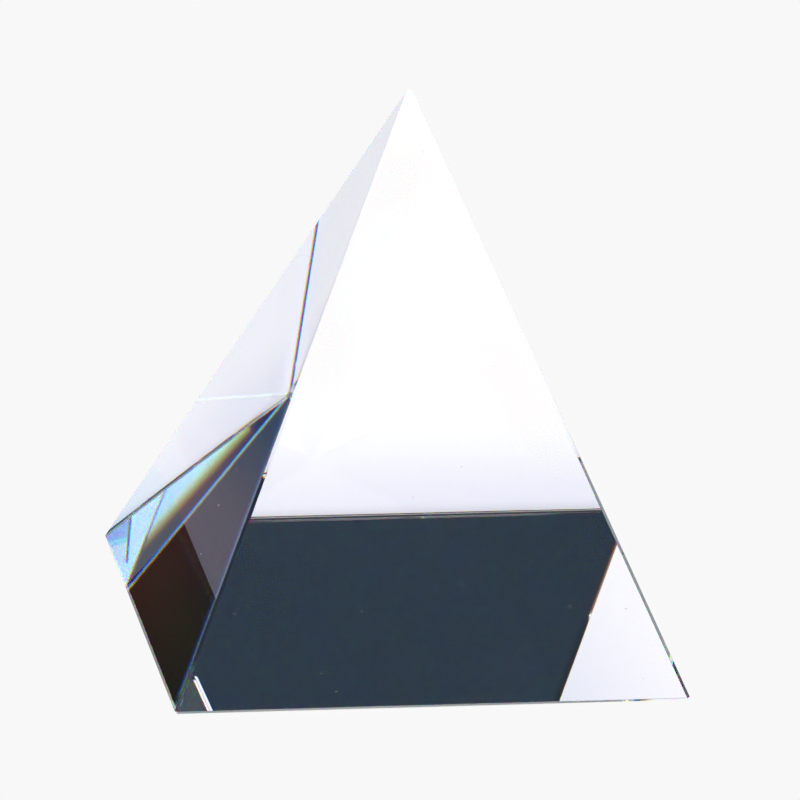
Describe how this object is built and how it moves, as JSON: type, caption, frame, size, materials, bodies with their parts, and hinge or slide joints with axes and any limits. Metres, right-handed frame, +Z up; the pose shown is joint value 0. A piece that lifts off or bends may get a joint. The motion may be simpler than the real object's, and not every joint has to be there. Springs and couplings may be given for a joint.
{
  "type": "crystal pyramid paperweight",
  "caption": "Solid clear crystal square pyramid with narrow polished flats ground along its edges, standing on its flat base as a paperweight or desk ornament.",
  "frame": {"origin": "middle of the base face, on the surface that the block stands on", "axes": "+Z up along the pyramid's axis to its tip; +X and +Y square to the sides of the base"},
  "size_m": [0.0796, 0.0796, 0.0864],
  "materials": {
    "optical_crystal": "water-clear optical crystal, every face and edge flat polished"
  },
  "bodies": {
    "root": {"crystal_pyramid": "optical_crystal"}
  },
  "joints": []
}
